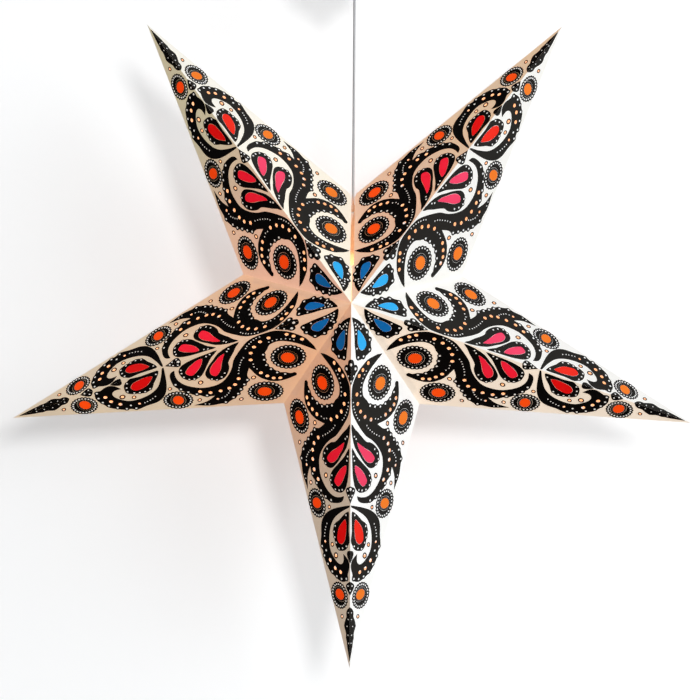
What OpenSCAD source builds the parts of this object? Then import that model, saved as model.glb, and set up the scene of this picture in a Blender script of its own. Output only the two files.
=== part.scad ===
// Folded paper star lantern with five points, its lamp, its cord and its ceiling rose.
// Millimetres, +Z up, the front of the star faces -Y.
// The origin is the middle of the face that lies against the ceiling.

/* [Star] */
// Distance from the star's centre to each tip
tip_r = 300; // [250:5:340]
// Distance from the star's centre to each notch between two points
notch_r = 97; // [90:1:110]
// Distance from the star's middle plane to its front or back apex
half_depth = 90; // [80:1:105]
// Distance from the ceiling face down to the star's centre
star_drop = 308; // [300:1:340]

/* [Paper] */
// Thickness of the card
paper_t = 0.5; // [0.3:0.05:0.8]
// Width of the glue tabs along the valleys
tab_w = 6; // [4:0.5:9]
// Distance that each glue tab stops short of the ends of its valley
tab_inset = 10; // [8:1:16]
// Glue between a tab and the panel it is stuck to
glue_gap = 0.05; // [0.02:0.01:0.1]
// Width of the unglued slit along the upper part of the top valleys
slit_w = 3; // [1:0.2:4]
// Height of the slit's lower end above the star's centre
slit_low = 33; // [25:1:45]
// Gap of the closed seam below the slit
seam_gap = 0.3; // [0.2:0.05:0.6]
// Diameter of the hole for the cord in the top notch
cord_hole_d = 5; // [4:0.5:8]

/* [Print] */
// Thickness of the printed shapes
ink_t = 0.1; // [0.05:0.05:0.2]
// Clearance under each layer of print
ink_gap = 0.02; // [0.01:0.01:0.05]
// Steps along each curved span of the printed outlines
curve_steps = 2; // [1:1:5]
// Sides of the black rosettes
rosette_sides = 8; // [8:1:24]
// Sides of the coloured rosette centres
centre_sides = 6; // [5:1:16]
// Sides of the round head of a black drop
head_sides = 6; // [5:1:20]
// Sides of the round head of a drop's coloured middle
middle_sides = 4; // [4:1:16]

/* [Lamp holder] */
// Radius of the holder's cap and skirt
holder_r = 14; // [13:0.5:18]
// Wall of the cap and skirt
holder_wall = 1.6; // [1.2:0.1:2]
// Height of the cap
cap_h = 12; // [10:0.5:16]
// Length of the skirt below the cap
skirt_h = 22; // [20:0.5:24]
// Depth that the skirt's spigot reaches into the cap
spigot_h = 4; // [3:0.5:5]
// Clearance between the cap and the valleys it bears on
seat_gap = 0.3; // [0.2:0.05:0.5]
// Clearance of pieces that plug into each other
fit_gap = 0.1; // [0.05:0.05:0.2]
// Thickness of the insert that carries the contacts
insert_t = 6; // [5:0.5:8]
// Wall of the threaded shell
shell_wall = 0.5; // [0.4:0.1:0.8]
// Length of the threaded shell
shell_h = 16; // [14:0.5:17]
// Radius of the cord grip on the cap
grip_r = 4.6; // [4:0.2:5]
// Height of the cord grip above the cap
grip_h = 7; // [5:0.5:8]
// Radius of the cord grip's neck inside the cap
grip_neck_r = 3.2; // [2.8:0.1:3.6]

/* [Bulb] */
// Radius of the glass ball
ball_r = 22.5; // [20:0.5:25]
// Length of the bulb from its contact to the bottom of the ball
bulb_len = 74; // [70:1:80]
// Radius of the metal screw cap
screw_r = 6.95; // [6.5:0.05:7.5]
// Length of the metal screw cap
screw_h = 17; // [16:0.5:20]
// Radius of the glass neck where it meets the screw cap
neck_r = 8; // [7.6:0.1:9]
// Radius of the contact button on the screw cap
button_r = 3.4; // [3:0.1:4]
// Height of the contact button
button_h = 1.6; // [1:0.1:2]

/* [Cord] */
// Diameter of the cord
cord_d = 2.2; // [1.8:0.1:3]
// Radial clearance of the cord in its bores
cord_clear = 0.2; // [0.1:0.05:0.4]

/* [Ceiling rose] */
// Radius of the rose at the ceiling
rose_r = 32; // [30:0.5:40]
// Radius of the rose at its bottom
rose_bottom_r = 21; // [18:0.5:24]
// Height of the rose
rose_h = 27; // [26:0.5:32]
// Wall of the rose
rose_wall = 1.5; // [1:0.1:2]
// Clearance between the mounting plate's edge and the rose
plate_gap = 0.4; // [0.2:0.1:0.8]
// Thickness of the mounting plate
plate_t = 2; // [1.5:0.1:3]
// Distance between the two fixing holes
fixing_span = 42; // [40:1:44]
// Radius of the fixing holes
fixing_r = 2.25; // [2:0.05:2.5]
// Radius of the hole for the mains wires in the plate
wire_hole_r = 4; // [3:0.25:5]
// Distance of the wire hole from the plate's middle
wire_hole_y = 16; // [15:0.5:18]
// Length of the terminal block
block_l = 22; // [18:1:24]
// Width of the terminal block
block_w = 14; // [12:1:16]
// Height of the terminal block
block_h = 12; // [10:0.5:13]
// Radius of the gland's body below the rose
gland_r = 6.5; // [6:0.25:8]
// Height of the gland's body below the rose
gland_h = 12; // [10:0.5:13]
// Radius of the gland's threaded neck
gland_neck_r = 4.5; // [4:0.25:5]
// Across-flats size of the nut on the gland
nut_flats = 13; // [12:0.5:15]
// Thickness of the nut on the gland
nut_t = 3; // [2:0.5:4]
// Radius of the grip screw in the gland
grip_screw_r = 1.5; // [1.25:0.05:1.75]

/* [Hidden] */

// The points in order: upper right, upper left, left, bottom, right
point_count = 5;
half_angle = 180 / point_count;
first_angle = 90 - half_angle;
first_point = 0;
second_point = 1;
round_fn = 32;
// Clearance of faces that rest on each other
rest_gap = 0.02;
// Bevel on the outer edges of turned pieces
bevel = 1;

// Panel geometry: a panel is the triangle from an apex to a tip and a notch
ridge_len = sqrt(pow(tip_r, 2) + pow(half_depth, 2));
valley_len = sqrt(pow(notch_r, 2) + pow(half_depth, 2));
edge_len = sqrt(pow(tip_r, 2) + pow(notch_r, 2) - 2 * tip_r * notch_r * cos(half_angle));
notch_u = (pow(valley_len, 2) + pow(ridge_len, 2) - pow(edge_len, 2)) / (2 * ridge_len);
notch_v = sqrt(pow(valley_len, 2) - pow(notch_u, 2));
notch_x = notch_r * cos(half_angle);
notch_z = notch_r * sin(half_angle);
ridge_turn = atan2(half_depth, tip_r);
panel_tilt = atan2(notch_z, half_depth * (tip_r - notch_x) / ridge_len);

// Distance from the centre to the line of a side edge, and a panel's slopes beside the top valley
edge_dist = tip_r * notch_r * sin(half_angle) / edge_len;
panel_ny = edge_dist / sqrt(pow(edge_dist, 2) + pow(half_depth, 2));
slope_z = half_depth / edge_dist * tip_r * cos(first_angle) / edge_len;
slope_x = half_depth / edge_dist * (tip_r * sin(first_angle) - notch_r) / edge_len;

// Share of the star's size that is left a given depth below its surface
function inset_share(depth) = (half_depth - depth / panel_ny) / half_depth;
paper_share = inset_share(paper_t);
tab_outer_share = inset_share(paper_t + glue_gap);
tab_inner_share = inset_share(2 * paper_t + glue_gap);
// Distance of a tab's fold from the valley's plane
tab_root = 0.2;

// Heights of the lamp, measured from the star's centre
seat_reach = sqrt(pow(holder_r, 2) - pow(slit_w / 2, 2));
cap_top = (paper_share * half_depth + slope_x * slit_w / 2 - seat_reach) / slope_z - seat_gap;
cap_bottom = cap_top - cap_h;
skirt_bottom = cap_bottom - skirt_h;
spigot_top = cap_bottom + spigot_h;
insert_bottom = spigot_top - fit_gap - insert_t;
contact_t = 0.8;
contact_r = 3;
contact_bottom = insert_bottom - contact_t;
bulb_top = contact_bottom - fit_gap;
bulb_bottom = bulb_top - bulb_len;
shell_r = screw_r + fit_gap + shell_wall;
shoulder_w = 1.5;
grip_neck_h = holder_wall + 2;
cord_bore_r = cord_d / 2 + cord_clear;

// The printed pattern was drawn for a panel of this length, with its notch here
art_len = 313;
art_notch = [101, 85.5];
// Moves a point of the drawn pattern to its place on a panel of the present size
function fit_art(p) = [
    p[0] * ridge_len / art_len + p[1] * (notch_u - art_notch[0] * ridge_len / art_len) / art_notch[1],
    p[1] * notch_v / art_notch[1]
];

// Outlines of the big curling band, each stroke running between two corners
band_strokes = [
    [[48.5, 38], [54, 14], [82, 0.6], [105, 10], [123, 30], [143, 39.5], [165, 26], [164, 8]],
    [[164, 8], [173, 24], [163.5, 42.5], [148, 51]],
    [[148, 51], [170, 53.5]],
    [[170, 53.5], [144, 64], [115, 47], [107.5, 33]],
    [[107.5, 33], [103, 49.5], [91, 58.5], [75.5, 57]],
    [[75.5, 57], [91, 41], [87, 21.5], [70, 14.6], [48.5, 38]]
];
// Outlines of the smaller band that cups the red drop
cup_strokes = [
    [[171, 0.6], [180, 24], [201, 36.8], [228, 30.5], [239, 10]],
    [[239, 10], [226, 1], [214.5, 7.5]],
    [[214.5, 7.5], [223.5, 13], [206, 26.7], [187, 18.5], [171, 0.6]]
];
// Pointed ornament on the ridge near the tip
tip_ornament = [[261, 0.6], [302, 0.6], [277, 5.4], [267, 4.2]];
// Rosettes: centre, long and short radius, turn, and radii of the coloured centre
rosettes = [
    [[72.6, 35], 14.6, 14.2, 0, 5.6, 5.6],
    [[108, 65], 14.8, 12, -20, 5.8, 5.2],
    [[178.3, 42.2], 12.3, 10.6, -20, 5.2, 4.4],
    [[251.6, 13.2], 11.4, 10.2, -20, 5.2, 4.4]
];
// Drops: tip, centre and radius of the head, black outline first and colour second
blue_drops = [[[12.5, 1], [36.8, 14], 10.6, [24, 8], [36, 13], 5.4]];
red_drops = [
    [[101.5, 1], [132.5, 24.4], 9.8, [118, 8], [133.5, 23.5], 5],
    [[123, 1.6], [151.5, 13.8], 10.5, [137, 5.3], [151.8, 14], 5],
    [[175.5, 2.6], [201, 11.4], 10.6, [184, 6], [200.5, 11], 5.4]
];

// The cord hangs straight, from the terminal block to the lamp holder's insert
cord_route = [
    [0, 0, -14.1], [0, 0, -26], [0, 0, -40], [0, 0, -56], [0, 0, -72], [0, 0, -88],
    [0, 0, -104], [0, 0, -120], [0, 0, -136], [0, 0, -152], [0, 0, -168], [0, 0, -184],
    [0, 0, -200], [0, 0, -212], [0, 0, -224], [0, 0, -234]
];
cord_sides = 8;

// A point on a smooth curve through p1 and p2
function curve_point(p0, p1, p2, p3, t) = 0.5 * (
    2 * p1 + (p2 - p0) * t + (2 * p0 - 5 * p1 + 4 * p2 - p3) * pow(t, 2)
    + (3 * p1 - p0 - 3 * p2 + p3) * pow(t, 3)
);
// A smooth stroke through its points, without its last point; a stroke of two points is straight
function stroke(p) = len(p) == 2 ? [p[0]] : [
    for (i = [0 : len(p) - 2])
        for (k = [0 : curve_steps - 1])
            curve_point(p[max(i - 1, 0)], p[i], p[i + 1], p[min(i + 2, len(p) - 1)], k / curve_steps)
];
function outline(strokes) = [for (s = strokes) for (p = stroke(s)) p];
function oval(centre, a, b, turn, sides) = [
    for (k = [0 : sides - 1])
        let (x = a * cos(360 * k / sides), y = b * sin(360 * k / sides))
            centre + [x * cos(turn) - y * sin(turn), x * sin(turn) + y * cos(turn)]
];
// A drop is its tip and the arc of its head between the two tangents from the tip
function drop(tip, head, r, sides) =
    let (
        d = head - tip,
        aim = atan2(d[1], d[0]),
        sweep = 180 - acos(r / norm(d))
    )
    concat([tip], [
        for (k = [0 : sides - 1])
            let (a = aim - sweep + 2 * sweep * k / (sides - 1))
                head + r * [cos(a), sin(a)]
    ]);

// Solid star of the outer size times a share
module star_solid(share) {
    ring = [
        for (k = [0 : 2 * point_count - 1])
            let (r = share * (k % 2 == 0 ? tip_r : notch_r), a = k * half_angle)
                [r * cos(a), 0, r * sin(a)]
    ];
    apex_y = share * half_depth;
    front = 2 * point_count;
    back = front + 1;
    polyhedron(
        points = concat(ring, [[0, -apex_y, 0], [0, apex_y, 0]]),
        faces = concat(
            [for (k = [0 : front - 1]) [front, (k + 1) % front, k]],
            [for (k = [0 : front - 1]) [back, k, (k + 1) % front]]
        )
    );
}

// Wedge of the solid star that belongs to the point along +X
module point_wedge() {
    polyhedron(
        points = [
            [0, -half_depth, 0], [0, half_depth, 0], [tip_r, 0, 0],
            [notch_x, 0, notch_z], [notch_x, 0, -notch_z]
        ],
        faces = [[0, 3, 2], [0, 2, 4], [1, 2, 3], [1, 4, 2], [0, 1, 3], [0, 4, 1]]
    );
}

// Two tabs, front and back, folded in along the valley and stuck inside the next point
module glue_tabs() {
    root_low = -tab_root - paper_t;
    tab_layer(inset_share(paper_t / 2), root_low, -tab_root);
    tab_layer(tab_outer_share, root_low, tab_w);
}

// Strip of card under the star's surface, between two distances from the valley's plane
module tab_layer(outer_share, low, high) {
    intersection() {
        rotate([0, -half_angle, 0])
            translate([tab_inset, -half_depth, low])
                cube([notch_r - 2 * tab_inset, 2 * half_depth, high - low]);
        difference() {
            star_solid(outer_share);
            star_solid(tab_inner_share);
        }
    }
}

// Places a drawing on the four panels of the point along +X, with Z pointing out of the paper
module on_panels() {
    for (side_y = [0, 1]) mirror([0, side_y, 0])
        for (side_z = [0, 1]) mirror([0, 0, side_z])
            translate([0, -half_depth, 0])
                rotate([0, 0, ridge_turn])
                    rotate([panel_tilt, 0, 0])
                        children();
}

// Turns what lies along +X to the place of a point of the star
module at_point(index) {
    translate([0, 0, -star_drop])
        rotate([0, -first_angle - 2 * half_angle * index, 0])
            children();
}

// One point of the star, folded from one sheet of card
module star_point(index) {
    color("ivory") difference() {
        at_point(index) {
            difference() {
                point_wedge();
                star_solid(paper_share);
            }
            if (index != first_point) glue_tabs();
        }
        if (index == first_point || index == second_point) top_cuts();
    }
}

// Seam and slit along the top valleys, and the hole for the cord
module top_cuts() {
    valley_cut(seam_gap, 0);
    valley_cut(slit_w, slit_low);
    translate([0, 0, notch_r - cord_hole_d - star_drop])
        cylinder(d = cord_hole_d, h = 2 * cord_hole_d, $fn = round_fn);
}

// Upright cut through the top valleys, from a height above the star's centre
module valley_cut(width, low) {
    translate([-width / 2, -half_depth - 1, low - star_drop])
        cube([width, 2 * half_depth + 2, notch_r + 1 - low]);
}

// A flat printed shape on the paper, on the given layer
module printed(points, layer) {
    translate([0, 0, ink_gap + layer * (ink_t + ink_gap)])
        linear_extrude(height = ink_t)
            polygon([for (p = points) fit_art(p)]);
}

// Black bands, rosettes, drops and ornaments on one point
module black_print(index) {
    color("#16110f") at_point(index) on_panels() {
        printed(outline(band_strokes), 0);
        printed(outline(cup_strokes), 0);
        printed(tip_ornament, 0);
        for (r = rosettes) printed(oval(r[0], r[1], r[2], r[3], rosette_sides), 0);
        for (d = concat(blue_drops, red_drops)) printed(drop(d[0], d[1], d[2], head_sides), 0);
    }
}

module orange_print(index) {
    color("#f2561d") at_point(index) on_panels()
        for (r = rosettes) printed(oval(r[0], r[4], r[5], r[3], centre_sides), 1);
}

module red_print(index) {
    color("#d81a35") at_point(index) on_panels()
        for (d = red_drops) printed(drop(d[3], d[4], d[5], middle_sides), 1);
}

module blue_print(index) {
    color("#0d6fb8") at_point(index) on_panels()
        for (d = blue_drops) printed(drop(d[3], d[4], d[5], middle_sides), 1);
}

// Straight hanging cord, swept along its route with one ring at each point
module flex() {
    rings = len(cord_route);
    points = [
        for (c = cord_route)
            for (k = [0 : cord_sides - 1])
                c + cord_d / 2 * [cos(360 * k / cord_sides), sin(360 * k / cord_sides), 0]
    ];
    sides = [
        for (i = [0 : rings - 2])
            for (k = [0 : cord_sides - 1])
                let (a = i * cord_sides + k, b = i * cord_sides + (k + 1) % cord_sides)
                    [a, a + cord_sides, b + cord_sides, b]
    ];
    first_end = [for (k = [0 : cord_sides - 1]) k];
    last_end = [for (k = [0 : cord_sides - 1]) rings * cord_sides - 1 - k];
    color("silver") polyhedron(points = points, faces = concat([first_end], sides, [last_end]));
}

// Turned pieces of the lamp, given as half profiles with heights from the star's centre
module turned(profile) {
    translate([0, 0, -star_drop])
        rotate_extrude($fn = round_fn) polygon(profile);
}

// Tapered collar that holds the cord on top of the cap
module cord_grip() {
    taper = 0.7;
    color("gainsboro") turned([
        [cord_bore_r, cap_top - grip_neck_h],
        [grip_neck_r, cap_top - grip_neck_h],
        [grip_neck_r, cap_top],
        [grip_r, cap_top],
        [grip_r, cap_top + grip_h / 2],
        [grip_r * taper, cap_top + grip_h],
        [cord_bore_r, cap_top + grip_h]
    ]);
}

module holder_cap() {
    color("gainsboro") turned([
        [grip_neck_r + fit_gap, cap_top],
        [holder_r - bevel, cap_top],
        [holder_r, cap_top - bevel],
        [holder_r, cap_bottom],
        [holder_r - holder_wall, cap_bottom],
        [holder_r - holder_wall, cap_top - holder_wall],
        [grip_neck_r + fit_gap, cap_top - holder_wall]
    ]);
}

// Skirt with a spigot into the cap and a shoulder that carries the insert
module holder_skirt() {
    spigot_r = holder_r - holder_wall - fit_gap;
    bore_r = spigot_r - holder_wall;
    color("gainsboro") turned([
        [bore_r - shoulder_w, skirt_bottom],
        [holder_r - bevel, skirt_bottom],
        [holder_r, skirt_bottom + bevel],
        [holder_r, cap_bottom - fit_gap],
        [spigot_r, cap_bottom - fit_gap],
        [spigot_r, spigot_top],
        [bore_r, spigot_top],
        [bore_r, insert_bottom],
        [bore_r - shoulder_w, insert_bottom]
    ]);
}

// Moulded disc inside the skirt that carries the shell and the contact
module holder_insert() {
    insert_r = holder_r - 2 * holder_wall - 2 * fit_gap;
    color("whitesmoke") translate([0, 0, insert_bottom - star_drop])
        cylinder(r = insert_r, h = insert_t, $fn = round_fn);
}

module thread_shell() {
    color("goldenrod") translate([0, 0, insert_bottom - shell_h - star_drop]) difference() {
        cylinder(r = shell_r, h = shell_h, $fn = round_fn);
        translate([0, 0, -1]) cylinder(r = shell_r - shell_wall, h = shell_h + 2, $fn = round_fn);
    }
}

module centre_contact() {
    color("goldenrod") translate([0, 0, contact_bottom - star_drop])
        cylinder(r = contact_r, h = contact_t, $fn = round_fn);
}

// Sealed bulb: contact button, screw cap, glass neck and glass ball
module bulb() {
    ball_z = bulb_bottom + ball_r;
    screw_top = bulb_top - button_h;
    screw_bottom = screw_top - screw_h;
    neck_h = 3;
    meet_angle = 52;
    color("#ffe7b8") {
        turned([
            [0, bulb_top], [button_r, bulb_top], [button_r, screw_top],
            [screw_r - bevel, screw_top], [screw_r, screw_top - bevel], [screw_r, screw_bottom],
            [neck_r, screw_bottom], [neck_r, screw_bottom - neck_h],
            [ball_r * cos(meet_angle), ball_z + ball_r * sin(meet_angle)], [0, ball_z]
        ]);
        translate([0, 0, ball_z - star_drop]) sphere(r = ball_r, $fn = round_fn);
    }
}

// Tapered cup that hides the wiring at the ceiling
module rose_cup() {
    floor_z = -rose_h;
    rim_h = 4;
    foot = 2 * bevel;
    color("white") rotate_extrude($fn = round_fn) polygon([
        [gland_neck_r + fit_gap, floor_z],
        [rose_bottom_r - foot, floor_z],
        [rose_bottom_r, floor_z + foot],
        [rose_r, -rim_h],
        [rose_r, 0],
        [rose_r - rose_wall, 0],
        [rose_r - rose_wall, -rim_h],
        [rose_bottom_r - rose_wall, floor_z + rose_wall + bevel],
        [rose_bottom_r - rose_wall - bevel, floor_z + rose_wall],
        [gland_neck_r + fit_gap, floor_z + rose_wall]
    ]);
}

// Plate that is screwed to the ceiling
module rose_plate() {
    color("lightsteelblue") difference() {
        translate([0, 0, -plate_t])
            cylinder(r = rose_r - rose_wall - plate_gap, h = plate_t, $fn = round_fn);
        for (x = [-fixing_span / 2, fixing_span / 2])
            translate([x, 0, -plate_t - 1]) cylinder(r = fixing_r, h = plate_t + 2, $fn = round_fn);
        translate([0, wire_hole_y, -plate_t - 1])
            cylinder(r = wire_hole_r, h = plate_t + 2, $fn = round_fn);
    }
}

// Gland that the cord leaves the rose by, with a cross hole for its grip screw
module rose_gland() {
    cone_w = 2;
    cone_h = 3;
    neck_top = -rose_h + rose_wall + nut_t + bevel;
    color("white") difference() {
        rotate_extrude($fn = round_fn) polygon([
            [cord_bore_r, -rose_h - gland_h],
            [gland_r - cone_w, -rose_h - gland_h],
            [gland_r, -rose_h - gland_h + cone_h],
            [gland_r, -rose_h - rest_gap],
            [gland_neck_r, -rose_h - rest_gap],
            [gland_neck_r, neck_top],
            [cord_bore_r, neck_top]
        ]);
        translate([0, 0, -rose_h - gland_h / 2])
            rotate([0, 90, 0]) cylinder(r = grip_screw_r + fit_gap, h = gland_r + 1, $fn = round_fn);
    }
}

module gland_nut() {
    color("silver") translate([0, 0, -rose_h + rose_wall + rest_gap]) difference() {
        cylinder(d = nut_flats / cos(30), h = nut_t, $fn = 6);
        translate([0, 0, -1])
            cylinder(r = gland_neck_r + fit_gap, h = nut_t + 2, $fn = round_fn);
    }
}

module grip_screw() {
    sink = 0.5;
    color("silver") translate([cord_bore_r, 0, -rose_h - gland_h / 2])
        rotate([0, 90, 0]) cylinder(r = grip_screw_r, h = gland_r - cord_bore_r - sink, $fn = round_fn);
}

// Terminal block under the plate, with two wire channels
module terminal_block() {
    channel_r = 1.6;
    color("ivory") translate([0, 0, -plate_t - block_h]) difference() {
        translate([-block_l / 2, -block_w / 2, 0]) cube([block_l, block_w, block_h]);
        for (x = [-block_l / 4, block_l / 4])
            translate([x, -block_w, block_h / 2]) rotate([-90, 0, 0])
                cylinder(r = channel_r, h = 2 * block_w, $fn = round_fn);
    }
}

star_point(0);  // point_upper_right
star_point(1);  // point_upper_left
star_point(2);  // point_left
star_point(3);  // point_bottom
star_point(4);  // point_right
black_print(0);  // black_print_upper_right
black_print(1);  // black_print_upper_left
black_print(2);  // black_print_left
black_print(3);  // black_print_bottom
black_print(4);  // black_print_right
orange_print(0);  // orange_print_upper_right
orange_print(1);  // orange_print_upper_left
orange_print(2);  // orange_print_left
orange_print(3);  // orange_print_bottom
orange_print(4);  // orange_print_right
red_print(0);  // red_print_upper_right
red_print(1);  // red_print_upper_left
red_print(2);  // red_print_left
red_print(3);  // red_print_bottom
red_print(4);  // red_print_right
blue_print(0);  // blue_print_upper_right
blue_print(1);  // blue_print_upper_left
blue_print(2);  // blue_print_left
blue_print(3);  // blue_print_bottom
blue_print(4);  // blue_print_right
flex();
cord_grip();
holder_cap();
holder_skirt();
holder_insert();
thread_shell();
centre_contact();
bulb();
rose_cup();
rose_plate();
rose_gland();
gland_nut();
grip_screw();
terminal_block();
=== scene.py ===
"""Paper star lantern: printed card lit from inside, its lamp, its cord and its ceiling rose."""

import math
import bmesh
import bpy
from mathutils import Matrix, Vector
from mathutils.geometry import delaunay_2d_cdt


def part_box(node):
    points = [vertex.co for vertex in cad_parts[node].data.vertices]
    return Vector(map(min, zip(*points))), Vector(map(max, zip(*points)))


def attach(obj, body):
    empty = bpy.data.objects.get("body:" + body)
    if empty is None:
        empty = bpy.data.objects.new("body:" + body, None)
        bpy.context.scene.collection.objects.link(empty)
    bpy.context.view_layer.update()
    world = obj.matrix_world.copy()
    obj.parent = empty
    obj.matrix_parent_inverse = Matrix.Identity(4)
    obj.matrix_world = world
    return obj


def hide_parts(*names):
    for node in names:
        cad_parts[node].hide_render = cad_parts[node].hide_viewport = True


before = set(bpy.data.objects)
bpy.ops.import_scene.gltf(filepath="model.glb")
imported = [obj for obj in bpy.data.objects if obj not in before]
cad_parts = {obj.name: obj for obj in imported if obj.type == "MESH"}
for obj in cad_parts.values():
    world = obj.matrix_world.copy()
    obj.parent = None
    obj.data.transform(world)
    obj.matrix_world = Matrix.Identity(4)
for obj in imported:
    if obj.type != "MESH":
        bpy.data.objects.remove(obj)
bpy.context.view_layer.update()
bpy.context.scene.view_settings.view_transform = "Standard"

# Sizes of the star, taken from the frame where it gives them
MM = 0.001
POINTS = ["upper_right", "upper_left", "left", "bottom", "right"]
BOTTOM_LOW, BOTTOM_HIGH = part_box("point_bottom")
CENTRE = Vector((0, 0, BOTTOM_HIGH.z))
TIP_R = BOTTOM_HIGH.z - BOTTOM_LOW.z
HALF_DEPTH = BOTTOM_HIGH.y
NOTCH_R = 97 * MM
PAPER_T = 0.5 * MM
TAB_W = 6 * MM
TAB_INSET = 10 * MM
GLUE_GAP = 0.05 * MM
SLIT_HALF = 1.5 * MM
SLIT_LOW = 33 * MM
SEAM_HALF = 0.15 * MM
CORD_HOLE_R = 2.5 * MM
HALF_ANGLE = math.radians(36)
FIRST_ANGLE = math.radians(54)
INK_GAP = 0.02 * MM
INK_T = 0.1 * MM

# The lamp's place, which the painted glow of the paper follows
BULB_LOW, BULB_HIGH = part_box("bulb")
BALL_R = BULB_HIGH.x
LAMP = Vector((0, 0, BULB_LOW.z + BALL_R))


def star_dir(angle):
    """Direction in the star's plane at an angle from +X."""
    return Vector((math.cos(angle), 0, math.sin(angle)))


# Camera

CAMERA_DISTANCE = 1.65
PHOTO_WIDTH = 700
PX_PER_M = 1185
CENTRE_PX = (352.3, 310.5)
CAMERA_AZIMUTH = math.radians(0.53)
CAMERA_ELEVATION = math.radians(-3.8)
CAMERA_ROLL = math.radians(0.42)
SENSOR_MM = 36


def make_camera():
    """Camera at the photo's angle, turned so that the star's centre falls on its pixel."""
    back = Vector((
        math.sin(CAMERA_AZIMUTH) * math.cos(CAMERA_ELEVATION),
        -math.cos(CAMERA_AZIMUTH) * math.cos(CAMERA_ELEVATION),
        math.sin(CAMERA_ELEVATION),
    ))
    level = Vector((math.cos(CAMERA_AZIMUTH), math.sin(CAMERA_AZIMUTH), 0))
    up = back.cross(level)
    turn = Matrix.Rotation(CAMERA_ROLL, 3, back)
    right = turn @ level
    up = turn @ up
    place = CENTRE + back * CAMERA_DISTANCE
    off_x = (CENTRE_PX[0] - PHOTO_WIDTH / 2) / PX_PER_M
    off_y = (PHOTO_WIDTH / 2 - CENTRE_PX[1]) / PX_PER_M
    aim = CENTRE - right * off_x - up * off_y
    axis = (place - aim).normalized()
    side = up.cross(axis).normalized()
    top = axis.cross(side)
    data = bpy.data.cameras.new("camera")
    data.sensor_width = SENSOR_MM
    data.lens = PX_PER_M * CAMERA_DISTANCE / PHOTO_WIDTH * SENSOR_MM
    data.clip_start = 0.05
    data.clip_end = 40
    camera = bpy.data.objects.new("camera", data)
    camera.matrix_world = Matrix.Translation(place) @ Matrix((side, top, axis)).transposed().to_4x4()
    bpy.context.scene.collection.objects.link(camera)
    bpy.context.scene.camera = camera


make_camera()


# Materials

# Direction of the light side of the room, towards which faces get painted room light in their emission,
# the turns between which a face passes into that painted light, and the distances from the lamp,
# in metres, between which the painted glow of the lamp changes
PAINTED_LIGHT_SIDE = (0.951, -0.5, 0.309)
TURN_RANGE = (0.4, 0.85)
PAINTED_GLOW_REACH = (0.08, 0.18)


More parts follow.
